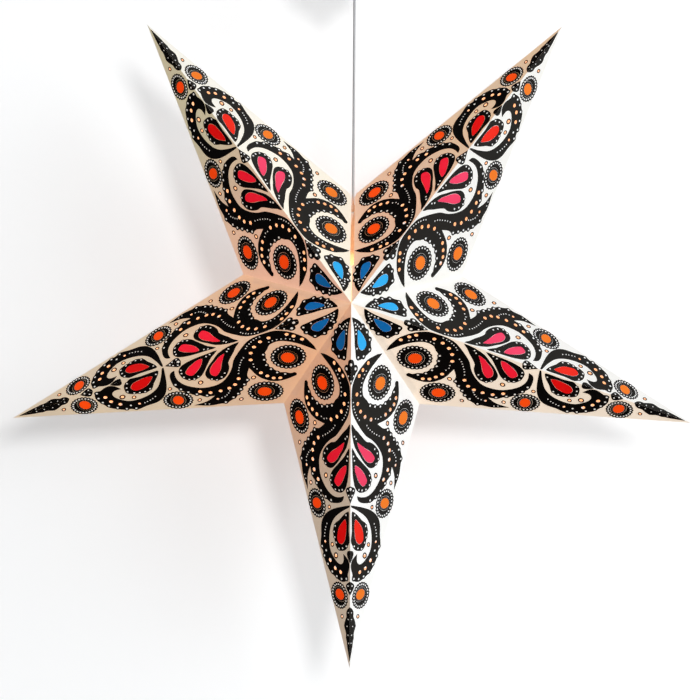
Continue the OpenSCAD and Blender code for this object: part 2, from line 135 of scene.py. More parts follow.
class Look:
    """One node material, with short calls for the nodes that repeat."""

    def __init__(self, name):
        self.material = bpy.data.materials.new(name)
        self.material.use_nodes = True
        self.nodes = self.material.node_tree.nodes
        self.links = self.material.node_tree.links
        self.shader = self.nodes["Principled BSDF"]
        coordinates = self.nodes.new("ShaderNodeTexCoord")
        self.place = coordinates.outputs["Object"]
        self.normal = coordinates.outputs["Normal"]

    def link(self, source, target):
        """Joins two sockets."""
        self.links.new(source, target)

    def noise(self, scale, detail=3.0, stretch=None, roughness=0.5):
        """Noise of about the given number of features in a metre, stretched if asked."""
        node = self.nodes.new("ShaderNodeTexNoise")
        node.inputs["Scale"].default_value = scale
        node.inputs["Detail"].default_value = detail
        node.inputs["Roughness"].default_value = roughness
        if stretch:
            mapping = self.nodes.new("ShaderNodeMapping")
            mapping.inputs["Scale"].default_value = stretch
            self.link(self.place, mapping.inputs["Vector"])
            self.link(mapping.outputs["Vector"], node.inputs["Vector"])
        else:
            self.link(self.place, node.inputs["Vector"])
        return node.outputs["Fac"]

    def scaled(self, value, low, high, from_low=0.3, from_high=0.7):
        """A value moved from one range to another."""
        node = self.nodes.new("ShaderNodeMapRange")
        node.inputs["From Min"].default_value = from_low
        node.inputs["From Max"].default_value = from_high
        node.inputs["To Min"].default_value = low
        node.inputs["To Max"].default_value = high
        self.link(value, node.inputs["Value"])
        return node.outputs["Result"]

    def maths(self, kind, first, second):
        """Sum, product or the like of two sockets or numbers."""
        node = self.nodes.new("ShaderNodeMath")
        node.operation = kind
        for slot, value in zip(node.inputs, (first, second)):
            if isinstance(value, (int, float)):
                slot.default_value = value
            else:
                self.link(value, slot)
        return node.outputs[0]

    def blend(self, factor, first, second):
        """Colour between two, by a factor. Each is a colour or a socket."""
        node = self.nodes.new("ShaderNodeMix")
        node.data_type = "RGBA"
        self.link(factor, node.inputs[0])
        for slot, colour in ((node.inputs[6], first), (node.inputs[7], second)):
            if isinstance(colour, tuple):
                slot.default_value = (*colour, 1)
            else:
                self.link(colour, slot)
        return node.outputs[2]

    def colour(self, factor, first, second):
        """Base colour between two, by a factor."""
        self.link(self.blend(factor, first, second), self.shader.inputs["Base Color"])

    def rough(self, value, low, high):
        """Roughness that follows a value."""
        self.link(self.scaled(value, low, high), self.shader.inputs["Roughness"])

    def bump(self, height, distance, strength):
        """Fine relief of the given depth in metres."""
        node = self.nodes.new("ShaderNodeBump")
        node.inputs["Distance"].default_value = distance
        node.inputs["Strength"].default_value = strength
        self.link(height, node.inputs["Height"])
        self.link(node.outputs["Normal"], self.shader.inputs["Normal"])

    def set(self, **values):
        """Uniform values on the shader's own sockets, with _ for a space in their names."""
        for name, value in values.items():
            self.shader.inputs[name.replace("_", " ")].default_value = value

    def distance_to_lamp(self):
        """Distance from the middle of the bulb's globe, in metres."""
        node = self.nodes.new("ShaderNodeVectorMath")
        node.operation = "DISTANCE"
        self.link(self.place, node.inputs[0])
        node.inputs[1].default_value = LAMP
        return node.outputs["Value"]

    def painted_light_share(self):
        """Share of painted room light: 0 on faces turned away from the light side of the room, 1 on faces
        turned to it.
        """
        node = self.nodes.new("ShaderNodeVectorMath")
        node.operation = "DOT_PRODUCT"
        self.link(self.normal, node.inputs[0])
        node.inputs[1].default_value = PAINTED_LIGHT_SIDE
        return self.scaled(node.outputs["Value"], 0, 1, *TURN_RANGE)

    def painted_glow(self, shade, lit, dim=1.0):
        """Painted light in the emission: the lamp's glow through the card on faces in the shade, paler
        painted room light on faces turned to the light side, each colour given near the lamp and far from it.
        """
        far = self.scaled(self.distance_to_lamp(), 0, 1, *PAINTED_GLOW_REACH)
        in_shade = self.blend(far, *shade)
        in_light = self.blend(far, *lit)
        tint = self.blend(self.painted_light_share(), in_shade, in_light)
        self.link(tint, self.shader.inputs["Emission Color"])
        # The painted glow's strength varies a little in clouds
        cloud = self.scaled(self.noise(22, 2), 0.9 * dim, 1.1 * dim)
        self.link(cloud, self.shader.inputs["Emission Strength"])


def card_look(name, pale, warm, shade, lit, dim=1.0):
    """Uncoated card with fibres and faint clouds, with a painted glow of the lamp and painted room light on
    faces turned to the light side.
    """
    look = Look(name)
    fibre = look.noise(700, 4, (1, 1, 0.35))
    cloud = look.noise(30, 3)
    mixed = look.maths("ADD", look.scaled(fibre, 0, 0.45), look.scaled(cloud, 0, 0.55))
    look.colour(mixed, warm, pale)
    look.rough(fibre, 0.72, 0.9)
    look.bump(fibre, 0.00012, 0.5)
    look.set(Specular_IOR_Level=0.25)
    look.painted_glow(shade, lit, dim)
    return look.material


def ink_look(name, dark, light, shade, lit, gloss):
    """Printed ink: its colour varies a little with the card's grain; it carries painted lamp glow in the
    shade and painted room light on faces turned to the light side.
    """
    look = Look(name)
    grain = look.noise(900, 4)
    cloud = look.noise(60, 2)
    mixed = look.maths("ADD", look.scaled(grain, 0, 0.5), look.scaled(cloud, 0, 0.5))
    look.colour(mixed, dark, light)
    look.rough(grain, 0.5, 0.66)
    look.bump(grain, 0.00008, 0.35)
    look.set(Specular_IOR_Level=gloss)
    look.painted_glow((shade, shade), (lit, lit))
    return look.material


# Painted light in each point's card: painted lamp glow in the shade near and far, and paler painted room
# light in the light near and far
PAINTED_CARD_LIGHT = {
    "upper_right": (((0.42, 0.125, 0.01), (0.36, 0.16, 0.03)), ((0.25, 0.245, 0.27), (0.25, 0.24, 0.26))),
    "upper_left": (((0.50, 0.19, 0.09), (0.29, 0.225, 0.10)), ((0.33, 0.26, 0.17), (0.28, 0.25, 0.22))),
    "left": (((0.45, 0.135, 0.0), (0.345, 0.21, 0.09)), ((0.25, 0.24, 0.25), (0.25, 0.24, 0.25))),
    "bottom": (((0.40, 0.105, 0.0), (0.25, 0.155, 0.085)), ((0.34, 0.345, 0.39), (0.33, 0.33, 0.37))),
    "right": (((0.61, 0.44, 0.31), (0.54, 0.41, 0.30)), ((0.24, 0.235, 0.26), (0.23, 0.22, 0.25))),
}
# Painted lamp light on the inside of the card, near the lamp and far from it, alike in shade and light
PAINTED_INSIDE_GLOW = ((0.30, 0.126, 0.06), (0.42, 0.176, 0.084))
PALE_CARD = (0.92, 0.90, 0.82)
WARM_CARD = (0.88, 0.855, 0.765)
# Painted shade of a glue tab: the share to which the painted glow is dimmed where a tab lies behind the card
PAINTED_TAB_SHADE = 0.78
# Each point's card is a copy with its own painted light, and a darker copy with painted tab shade
PAPER = {}
TABBED = {}
for point, (in_shade, in_light) in PAINTED_CARD_LIGHT.items():
    PAPER[point] = card_look("card_" + point, PALE_CARD, WARM_CARD, in_shade, in_light)
    TABBED[point] = card_look("card_over_tab_" + point, PALE_CARD, WARM_CARD, in_shade, in_light, PAINTED_TAB_SHADE)
INSIDE = card_look("card_inside", (0.88, 0.85, 0.80), (0.83, 0.79, 0.73), PAINTED_INSIDE_GLOW, PAINTED_INSIDE_GLOW)
# White dots: unprinted card with the same kind of painted glow and painted room light
DOTS = card_look("white_dots", (0.93, 0.92, 0.90), (0.90, 0.885, 0.86),
                 ((0.42, 0.34, 0.27), (0.38, 0.34, 0.29)), ((0.24, 0.235, 0.24), (0.24, 0.235, 0.24)))
# Black ink: its emission on faces turned to the light side is a painted sheen
BLACK = ink_look("black_ink", (0.002, 0.0012, 0.001), (0.005, 0.0035, 0.003),
                 (0, 0, 0), (0.0195, 0.019, 0.0175), 0.01)
# Coloured inks: their emission is a painted glow of the lamp in the shade and painted room light on faces
# turned to the light side
ORANGE = ink_look("orange_ink", (0.88, 0.125, 0.004), (0.94, 0.165, 0.008),
                  (0.58, 0.012, 0), (0.23, 0.10, 0.018), 0.1)
RED = ink_look("red_ink", (0.70, 0.005, 0.005), (0.78, 0.010, 0.009),
               (0.40, 0, 0), (0.32, 0.021, 0.008), 0.08)
PINK = ink_look("pink_ink", (0.80, 0.022, 0.07), (0.88, 0.034, 0.10),
                (0.53, 0, 0), (0.28, 0.04, 0.08), 0.1)
BLUE = ink_look("blue_ink", (0.006, 0.27, 0.82), (0.012, 0.34, 0.98),
                (0, 0.005, 0.015), (0.03, 0.21, 0.19), 0.08)


# Meshes

def new_piece(name, coords, faces, materials, indices=None, smooth=False):
    """Mesh object at the origin from its points and faces."""
    mesh = bpy.data.meshes.new(name)
    mesh.from_pydata(coords, [], faces)
    for material in materials:
        mesh.materials.append(material)
    if indices:
        mesh.polygons.foreach_set("material_index", indices)
    mesh.polygons.foreach_set("use_smooth", [smooth] * len(faces))
    mesh.update()
    piece = bpy.data.objects.new(name, mesh)
    bpy.context.scene.collection.objects.link(piece)
    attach(piece, "root")
    return piece


def lathe(name, profile, material, sides=64):
    """Piece turned about the cord's axis from (radius, height) pairs."""
    coords = []
    rings = []
    for radius, height in profile:
        if radius < 1e-6:
            rings.append([len(coords)])
            coords.append((0, 0, height))
            continue
        start = len(coords)
        rings.append(list(range(start, start + sides)))
        for k in range(sides):
            angle = math.tau * k / sides
            coords.append((radius * math.cos(angle), radius * math.sin(angle), height))
    faces = []
    pairs = list(zip(rings, rings[1:]))
    if len(rings[0]) > 1 and len(rings[-1]) > 1:
        pairs.append((rings[-1], rings[0]))
    for lower, upper in pairs:
        for k in range(sides):
            j = (k + 1) % sides
            if len(lower) == 1:
                faces.append((lower[0], upper[k], upper[j]))
            elif len(upper) == 1:
                faces.append((lower[k], upper[0], lower[j]))
            else:
                faces.append((lower[k], upper[k], upper[j], lower[j]))
    piece = new_piece(name, coords, faces, [material], smooth=True)
    tidy_normals(piece)
    return piece


def tidy_normals(piece, merge=2e-6):
    """Joins points that coincide and turns all faces outwards."""
    mesh = bmesh.new()
    mesh.from_mesh(piece.data)
    bmesh.ops.remove_doubles(mesh, verts=mesh.verts, dist=merge)
    bmesh.ops.recalc_face_normals(mesh, faces=mesh.faces)
    mesh.to_mesh(piece.data)
    mesh.free()


# Drawing of one panel, in millimetres: u runs along the ridge from the apex, v towards the notch

def smooth(points, steps=3, closed=True):
    """Curve through its points, as Catmull and Rom's formula gives it."""
    count = len(points)
    out = []
    for i in range(count if closed else count - 1):
        p0, p1, p2, p3 = (
            Vector(points[k % count] if closed else points[min(max(k, 0), count - 1)])
            for k in (i - 1, i, i + 1, i + 2)
        )
        for k in range(steps):
            t = k / steps
            out.append(0.5 * (
                2 * p1 + (p2 - p0) * t + (2 * p0 - 5 * p1 + 4 * p2 - p3) * t ** 2
                + (3 * p1 - p0 - 3 * p2 + p3) * t ** 3
            ))
    return out


def strokes(*parts):
    """Closed outline of smooth strokes that meet in sharp corners."""
    out = []
    for part in parts:
        out += smooth(part, 2, closed=False)
    return out


def oval(centre, a, b=None, turn=0.0, sides=12, lobes=0, lobe_depth=0.0):
    """Oval about a centre, with an edge of round lobes if asked."""
    b = b or a
    tilt = Matrix.Rotation(math.radians(turn), 2)
    out = []
    for k in range(sides):
        angle = math.tau * k / sides
        swell = lobe_depth * abs(math.sin(lobes * angle / 2)) if lobes else 0
        point = Vector(((a + swell) * math.cos(angle), (b + swell) * math.sin(angle)))
        out.append(Vector(centre) + tilt @ point)
    return out


# Kinds of a drawn shape, from the paper up
CARD, INK, DOT, HOLE, ORANGE_FILL, RED_FILL, PINK_FILL, BLUE_FILL, TAB_STRIP = range(9)

# Corners of the drawn panel: apex, tip and notch
PANEL = [(0, 0), (313, 0), (101, 85.5)]
# Radii of the round dots, in millimetres
BEAD_R = 0.8
LOBE_DOT_R = 0.95
TINY_DOT_R = 0.6
DROP_DOT_R = 0.76
# Width of the pale line round a drop's middle
DROP_LINE = 0.28

BLUE_DROP = [
    (12, 0.9), (17, 2.2), (23, 3.4), (30, 4), (36, 4.3), (40, 5), (43.5, 5.4), (47, 6), (49, 9),
    (48, 14.3), (45.3, 21), (42, 24.1), (38, 23.6), (34, 23.9), (30.3, 21.3), (25.3, 19.3), (22, 15.5),
    (17, 10.7), (13.7, 5.3),
]
BLUE_MIDDLE = [
    (23.6, 8), (28.7, 7.6), (34.6, 8), (39.6, 10.3), (41.2, 13.6), (39.3, 16.9), (36, 17.9),
    (30.7, 15.2), (26, 11.3),
]
BLUE_DOTS = [
    (17.2, 4.6), (20.2, 5.3), (23.2, 5.7), (26.3, 5.8), (18.8, 7.3), (20.9, 9.4), (23.1, 11.3), (38.8, 7),
]
BLUE_RIM = [(46.4, 8.6), (46.6, 14.9), (42.2, 22), (34, 22.2), (27.2, 18.6), (21.6, 13.6)]

BAND = [
    [(48.3, 38), (48, 32), (49, 26), (50.3, 20), (54, 14), (58, 9), (63, 4.7), (69.3, 1.5), (76.7, 0.8),
     (84, 0.8), (92, 2.2), (98, 5.3), (105, 10.3), (110, 14.3), (115, 19), (119, 25), (123.3, 30),
     (128.3, 34.3), (134.3, 38), (140, 39.5), (146, 39.3), (152, 38), (157.3, 35), (162.7, 30), (165.7, 25),
     (167, 19.3), (166, 13.3), (163.7, 8)],
    [(163.7, 8), (167.3, 9), (170, 11.7), (172, 16.7), (173.3, 24.3), (172, 28.7), (170, 33.3), (166.3, 38.3),
     (163.7, 42), (158.7, 45.3), (156, 48.7), (148.3, 51)],
    [(148.3, 51), (152.7, 53), (158.3, 54.5), (165.3, 54.3), (169.7, 54)],
    [(169.7, 54), (165.3, 56.3), (160, 59.3), (154.7, 61.3), (148, 62.3), (144, 64.3), (140.7, 63),
     (136, 61.7), (133, 60.7), (129, 57.3), (126, 55.7), (122.7, 52.3), (119.7, 50.7), (116, 48),
     (113.7, 46), (113, 41), (111, 37.3), (107.3, 32.7)],
    [(107.3, 32.7), (106.7, 37.3), (105.9, 42.7), (103.7, 48.7), (100.7, 52.7), (99, 54.7), (93.3, 58),
     (86, 59), (79.3, 58.5), (76, 58), (75, 56)],
    [(75, 56), (76.3, 54), (79.3, 53.9), (83, 50.7), (86.7, 49), (88, 47), (90.3, 42.3), (91.7, 38),
     (91.3, 32), (89.3, 27.3), (88.3, 24), (87, 21.3), (84.3, 19.3), (81, 15.7), (78, 14.3), (74, 13.9),
     (70, 14.7), (66, 17), (62, 20.3), (57.3, 25.3), (53, 31.3), (50.3, 35.3), (48.3, 38)],
]
CUP = [
    [(170, 0.8), (171, 4), (173, 9.3), (176, 17), (180, 25), (184.7, 31), (190, 35), (196.3, 36.8),
     (204, 36.7), (208.2, 37.1), (214.5, 37.5), (218.6, 34.4), (224, 33), (228.6, 29.8), (234, 25.3),
     (236.4, 19.8), (238.2, 15.3), (239, 9.8), (236.8, 4.4), (234.5, 2), (231, 3), (225.9, 1.2), (221.4, 0.8),
     (217.7, 2.5), (215.5, 5.7), (214, 8.5)],
    [(214, 8.5), (218.6, 8), (221.8, 8.9), (224, 11.6), (223.6, 15.7), (220.5, 20.3), (215.9, 24.4),
     (209.5, 26.2), (202, 26.2), (195, 24.8), (189, 22.2), (184, 18.4), (179.5, 13), (175, 6.6),
     (171.8, 1.2), (170, 0.8)],
]
PINK_A = [
    (100.7, 0.8), (105.3, 4.7), (110, 9.7), (114.7, 14), (119.7, 19.3), (121, 23.7), (123.7, 28),
    (126.7, 31.3), (131, 34.5), (136, 35.2), (140.7, 33), (143.7, 28.7), (143.3, 23.7), (140.7, 20),
    (135, 14.7), (129.3, 10.7), (122, 5.3), (111.3, 1.7),
]
PINK_A_MIDDLE = [
    (118, 8), (124, 10), (128.3, 13), (134, 17), (137.7, 21.3), (138.8, 26), (136.7, 29), (134, 28.3),
    (129.3, 24), (125.3, 18), (121, 12.3),
]
PINK_B = [
    (121, 1.7), (128, 1.7), (134.7, 2), (143.3, 2.5), (150.3, 3.7), (156.7, 6), (160.7, 9.7), (162, 13),
    (162.3, 18), (160.3, 22.7), (156.7, 25), (153.7, 25.7), (149.3, 25), (144.7, 22.3), (140.3, 18),
    (135.3, 13), (129.3, 7.3),
]
PINK_B_MIDDLE = [
    (137, 5.7), (141.3, 5.3), (147, 7.7), (152, 10.3), (156.3, 14), (156.7, 16.7), (154.3, 19.7),
    (151.3, 19.3), (146, 16), (141, 11.7),
]
RED_DROP = [
    (175.5, 2.5), (180, 1.5), (192.3, 1.8), (198.6, 0.9), (202.3, 0.9), (206.4, 3.5), (209.5, 5.3),
    (211.8, 9.8), (212.3, 15.3), (208.6, 18.5), (204, 19.8), (198.6, 21.8), (193.2, 20.7), (189.5, 18.5),
    (185.9, 13.9), (180.5, 8.9),
]
RED_MIDDLE = [
    (183.6, 6.2), (188.6, 4.8), (195, 5.3), (201.4, 6.6), (205.5, 9.8), (205.9, 13), (203.6, 15.7),
    (198.6, 15.7), (192.3, 13.9), (186.8, 9.8),
]
RIM_DOTS = [
    (128.1, 29.3), (132.5, 32.5), (137.7, 34), (141, 31.2), (158.8, 10.2), (160.2, 14), (160.5, 18.8),
    (157.8, 23.2), (153.9, 24.7), (149.5, 23.3), (206.4, 4.8), (209.3, 9.4), (210.9, 13.9), (206.6, 17.7),
    (202.3, 19.4), (197.7, 20.3), (192.3, 18.9),
]
DROP_DOTS = [(112, 4.3), (114.5, 6.5), (128.7, 3.5), (132.5, 4.5), (179.5, 5.3)]
# Rosettes: centre, radii, turn, and centre and radii of the orange middle
ROSETTES = [
    ((72.5, 34.9), 13.4, 13.0, 0, (73.2, 35.5), 5.5, 6.0),
    ((108, 65), 13.6, 10.8, -20, (108.8, 64.8), 5.7, 5.2),
    ((178.3, 42.2), 11.2, 9.6, -20, (178.2, 42.3), 4.4, 5.3),
    ((251.8, 13.2), 10.2, 9.2, 0, (250.7, 12.6), 4.5, 5.2),
]
# A rosette's beaded edge: beads, their inset, and the black beyond the drawn radii
ROSETTE_BEADS = 22
BEAD_INSET = 0.6
ROSETTE_RIM = 0.8
ROSETTE_LOBE = 0.9
# Its thin ring and its rays, as shares of the middle's radius, and their widths in millimetres
RING_SHARE = 1.42
RING_HALF_W = 0.1
RAYS = 24
RAY_FROM = 0.95
RAY_TO = 1.18
RAY_W = 0.26
PUNCHED = [
    (53.3, 20.7), (57.9, 14.3), (62, 9.9), (77, 7.2), (85.2, 8.3), (92.4, 11.7), (98, 17.1), (101.8, 24.5),
    (101.3, 42.5), (98.3, 48.3), (94.7, 53), (89.7, 55.3), (121, 40.7), (127, 46), (133.3, 47.9),
    (141.3, 47.7), (149.8, 45.9), (157, 40.8), (224, 25.1), (229.3, 18.7), (230.9, 11.9),
]
SMALL_PUNCHED = [(148, 55.7), (209.3, 31.6)]
PUNCHED_R = 1.65
SMALL_PUNCHED_R = 1.15
TINY_DOTS = [
    (59.5, 18.3), (62.1, 16.2), (65, 14.2), (68.5, 12.9), (72, 11.9), (75.7, 11.5), (79, 11.8),
    (83, 2.8), (86.2, 3.2), (89, 4), (91.8, 5.1), (94.3, 6.5), (97.1, 8.1), (99.2, 10.2),
    (102.2, 30), (103.1, 33.3), (102, 36.7),
    (105.9, 19.5), (108.5, 21.3), (110.5, 23.5), (112.5, 26), (114.5, 28.7), (116.3, 31.5), (118.1, 34.8),
    (134.5, 51), (136.5, 53), (138.8, 54.5), (141.2, 55.8), (144.3, 56), (157.3, 58.3), (160.3, 56.7),
    (193, 29.4), (196.4, 30.9), (199, 31.6), (202, 32.1), (204.7, 32.4),
]
# Round lobes with a white dot along the edges of the bands
LOBES = [
    (89.8, 23.3), (91.8, 29.3), (93.1, 35.9), (91.8, 42.1), (89.1, 48.1), (84, 52.7),
    (115.2, 45.3), (120, 49.2), (125.2, 53.3), (129.8, 57.3), (135.3, 59.7), (143.9, 62.3),
    (171.2, 24.1), (169.8, 31), (166, 37), (160.9, 42.5), (154, 47.8),
    (216.8, 30.3), (214.5, 35.5), (222, 32.5), (228.2, 28), (233.4, 22.4), (235.9, 16.6), (236.6, 10.5),
    (234.8, 4.5),
]
LOBE_R = 2.3
BLUE_LOBE_R = 2.6
RIM_LOBE_R = 1.75
# Small oval rings round a punched hole: centre, outer and inner radius
RINGS = [
    ((151.3, 30.9), 2.7, 1.5), ((177.8, 26.5), 2.2, 1.2), ((109.3, 45), 2.5, 1.4), ((162.2, 50.1), 2.3, 1.3),
    ((130.5, 64.7), 2.3, 1.3), ((217.9, 17.8), 3.0, 1.7), ((209.5, 22.5), 2.3, 1.3), ((269.5, 9.8), 2.2, 1.2),
]
RING_SQUASH = 0.82
RING_TURN = 30
# Buds that lie across the ridge, given as half outlines
BUDS = [
    [(46.5, 0), (47.3, 2.2), (49.5, 3.5), (51.8, 3.9), (52, 6.2), (54.3, 8), (57.2, 7.6),
     (58.9, 5.7), (62, 4.1), (65, 2), (68, 0)],
    [(153.5, 0), (154.6, 2.2), (156.2, 4.9), (159, 5.6), (161.5, 4.2), (164.5, 2.2), (168, 0)],
    [(209, 0), (210.2, 3), (213, 4.1), (216.5, 2.7), (220, 0)],
    [(236, 0), (238.3, 3.2), (241, 5.1), (244.3, 3.7), (248, 0)],
    [(258.5, 0), (261.5, 3.2), (265, 4.5), (268, 4.2), (272, 5.9), (277, 7.2), (281, 5.5),
     (284, 4.7), (287, 4.9), (290, 3.9), (294, 3.3), (300, 1.8), (307, 0)],
]
BUD_DOTS = [(61, 3.2), (64.8, 0), (158, 3.4), (161.8, 2.1), (163.8, 0), (240.5, 2.4), (244, 0)]
TIP_DOTS = [(264, 1.8), (270, 2), (276.5, 3.4), (284, 2.2), (291, 1.4)]
TIP_DOT_R = 0.55
BIG_BUD_DOTS = [(51, 0), (55.2, 5.3), (156, 0)]
BIG_BUD_DOT_R = 1.25


def spokes(centre, inner, outer, count, width, squash, turn):
    """Thin rays round a rosette's middle."""
    out = []
    tilt = Matrix.Rotation(math.radians(turn), 2)
    for k in range(count):
        angle = math.tau * (k + 0.5) / count
        along = Vector((math.cos(angle), math.sin(angle)))
        across = Vector((-along.y, along.x)) * width / 2
        ends = (along * inner - across, along * outer - across,
                along * outer + across, along * inner + across)
        out.append([Vector(centre) + tilt @ Vector((c.x, c.y * squash)) for c in ends])
    return out


def rosette(centre, a, b, turn, middle, middle_a, middle_b):
    """Black rosette with a beaded edge, a thin ring, rays and an orange middle."""
    sides = 4 * ROSETTE_BEADS
    edge = oval(centre, a + ROSETTE_RIM, b + ROSETTE_RIM, turn, sides, ROSETTE_BEADS, ROSETTE_LOBE)
    shapes = [(INK, edge)]
    tilt = Matrix.Rotation(math.radians(turn), 2)
    for k in range(ROSETTE_BEADS):
        angle = math.tau * (k + 0.5) / ROSETTE_BEADS
        place = Vector(((a - BEAD_INSET) * math.cos(angle), (b - BEAD_INSET) * math.sin(angle)))
        shapes.append((DOT, oval(Vector(centre) + tilt @ place, BEAD_R, sides=8)))
    ring_a = middle_a * RING_SHARE
    ring_b = middle_b * RING_SHARE
    shapes.append((CARD, oval(middle, ring_a + RING_HALF_W, ring_b + RING_HALF_W, turn, 28)))
    shapes.append((INK, oval(middle, ring_a - RING_HALF_W, ring_b - RING_HALF_W, turn, 28)))
    rays = spokes(middle, middle_a * RAY_FROM, middle_a * RAY_TO, RAYS, RAY_W, middle_b / middle_a, turn)
    shapes += [(CARD, ray) for ray in rays]
    shapes.append((ORANGE_FILL, oval(middle, middle_a, middle_b, turn, 22)))
    return shapes


def drop(outline, middle, kind, steps=2):
    """Black drop with a thin pale line round its coloured middle."""
    centre = sum((Vector(p) for p in middle), Vector((0, 0))) / len(middle)
    curve = smooth(middle, steps + 1)
    line = [centre + (p - centre) * (1 + DROP_LINE / max((p - centre).length, 1)) for p in curve]
    return [(INK, smooth(outline, steps)), (CARD, line), (kind, curve)]


def panel_drawing():
    """All shapes of one panel in the order in which they cover each other."""
    shapes = [(INK, strokes(*BAND)), (INK, strokes(*CUP))]
    for places, radius in ((LOBES, LOBE_R), (BLUE_RIM, BLUE_LOBE_R)):
        shapes += [(INK, oval(place, radius, sides=12)) for place in places]
    for place in RIM_DOTS:
        shapes.append((INK, oval(place, RIM_LOBE_R, sides=12)))
    for ring in RINGS:
        shapes.append((INK, oval(ring[0], ring[1], ring[1] * RING_SQUASH, RING_TURN, 14)))
    for bud in BUDS:
        shapes.append((INK, smooth(bud, 2, closed=False) + [Vector(bud[-1])]))
    for values in ROSETTES:
        shapes += rosette(*values)
    shapes += drop(BLUE_DROP, BLUE_MIDDLE, BLUE_FILL)
    shapes += drop(PINK_A, PINK_A_MIDDLE, PINK_FILL)
    shapes += drop(PINK_B, PINK_B_MIDDLE, PINK_FILL)
    shapes += drop(RED_DROP, RED_MIDDLE, RED_FILL)
    for places, radius in (
        (TINY_DOTS, TINY_DOT_R),
        (TIP_DOTS, TIP_DOT_R),
        (LOBES + BLUE_RIM, LOBE_DOT_R),
        (RIM_DOTS, BEAD_R),
        (BLUE_DOTS + DROP_DOTS + BUD_DOTS, DROP_DOT_R),
        (BIG_BUD_DOTS, BIG_BUD_DOT_R),
    ):
        shapes += [(DOT, oval(place, radius, sides=8)) for place in places]
    return shapes


def punched_holes():
    """Outlines of the round holes that let the lamp shine out."""
    holes = [oval(place, PUNCHED_R, sides=12) for place in PUNCHED]
    holes += [oval(place, SMALL_PUNCHED_R, sides=10) for place in SMALL_PUNCHED]
    holes += [oval(ring[0], ring[2], ring[2] * RING_SQUASH, RING_TURN, 12) for ring in RINGS]
    return holes


def turned_left(outline):
    """Outline that runs anticlockwise."""
    area = sum(a[0] * b[1] - b[0] * a[1] for a, b in zip(outline, outline[1:] + outline[:1]))
    return outline if area > 0 else outline[::-1]


def cut_up(frame_outline, shapes):
    """Triangles of the frame outline, each with the kind of the topmost shape over it."""
    points = []
    outlines = []
    for outline in [frame_outline] + [shape[1] for shape in shapes]:
        start = len(points)
        points += [Vector((p[0], p[1])) for p in turned_left(list(outline))]
        outlines.append(list(range(start, len(points))))
    found = delaunay_2d_cdt(points, [], outlines, 1, 1e-4)
    kinds = [CARD] + [shape[0] for shape in shapes]
    triangles = []
    for corners, owners in zip(found[2], found[5]):
        if 0 in owners:
            triangles.append((tuple(corners), kinds[max(owners)]))
    return found[0], triangles


DRAWING = panel_drawing()
HOLES = punched_holes()
ART_POINTS, ART_TRIANGLES = cut_up(PANEL, DRAWING + [(HOLE, hole) for hole in HOLES])


def fit_art(point, ridge, notch):
    """A point of the drawing on a panel with this ridge length and notch, all in metres."""
    u = point[0] / PANEL[1][0] * ridge
    u += point[1] / PANEL[2][1] * (notch[0] - PANEL[2][0] / PANEL[1][0] * ridge)
    return u, point[1] / PANEL[2][1] * notch[1]


class Panel:
    """Plane of one panel: its apex, its tip, its notch, and the axes u, v and n in it."""

    def __init__(self, angle, side, depth_side):
        self.apex = CENTRE + Vector((0, HALF_DEPTH * depth_side, 0))
        self.tip = CENTRE + star_dir(angle) * TIP_R
        self.notch_angle = angle + side * HALF_ANGLE
        self.notch = CENTRE + star_dir(self.notch_angle) * NOTCH_R
        self.u = (self.tip - self.apex).normalized()
        across = self.notch - self.apex
        self.v = (across - self.u * across.dot(self.u)).normalized()
        self.n = self.u.cross(self.v)
        self.flipped = self.n.dot(Vector((0, depth_side, 0))) < 0
        if self.flipped:
            self.n = -self.n
        self.depth_side = depth_side
        self.ridge = (self.tip - self.apex).length
        self.notch_uv = self.uv(self.notch)
        self.at_slit = abs(math.cos(self.notch_angle)) < 1e-6 and self.notch_angle > 0
        self.has_tab = side < 0 and not self.at_slit

    def uv(self, place):
        return (place - self.apex).dot(self.u), (place - self.apex).dot(self.v)

    def at(self, uv, height):
        return self.apex + self.u * uv[0] + self.v * uv[1] + self.n * height

    def share(self, depth):
        """Share of the star's size at a depth below its surface."""
        return 1 - depth / (HALF_DEPTH * abs(self.n.y))

    def on_plane(self, x, y, depth):
        """Place on this panel at the depth, with the given x and y."""
        start = self.at((0, 0), -depth)
        z = start.z - ((x - start.x) * self.n.x + (y - start.y) * self.n.y) / self.n.z
        return Vector((x, y, z))

    def valley_chain(self, depth):
        """Edge of the card beside the valley, from the ridge to the side edge, at a depth."""
        share = self.share(depth)
        apex = CENTRE + (self.apex - CENTRE) * share
        if not self.at_slit:
            return [apex, CENTRE + (self.notch - CENTRE) * share]
        right = 1 if self.tip.x > 0 else -1
        tip = CENTRE + (self.tip - CENTRE) * share
        valley = self.notch - self.apex
        chain = [apex.lerp(tip, SEAM_HALF / abs(tip.x))]
        for half_width in (SEAM_HALF, SLIT_HALF):
            foot = apex.lerp(tip, half_width / abs(tip.x))
            chain.append(foot + valley * (CENTRE.z + SLIT_LOW - foot.z) / valley.z)
        start = math.acos(SLIT_HALF / CORD_HOLE_R)
        for k in range(7):
            turn = start * (1 - k / 6)
            x = right * CORD_HOLE_R * math.cos(turn)
            y = self.depth_side * CORD_HOLE_R * math.sin(turn)
            chain.append(self.on_plane(x, y, depth))
        return chain

    def tip_at(self, depth):
        return CENTRE + (self.tip - CENTRE) * self.share(depth)


def panels_of(index):
    """The four panels of one point: two in front and two behind."""
    angle = FIRST_ANGLE + 2 * HALF_ANGLE * index
    return [Panel(angle, side, depth_side) for side in (1, -1) for depth_side in (-1, 1)]


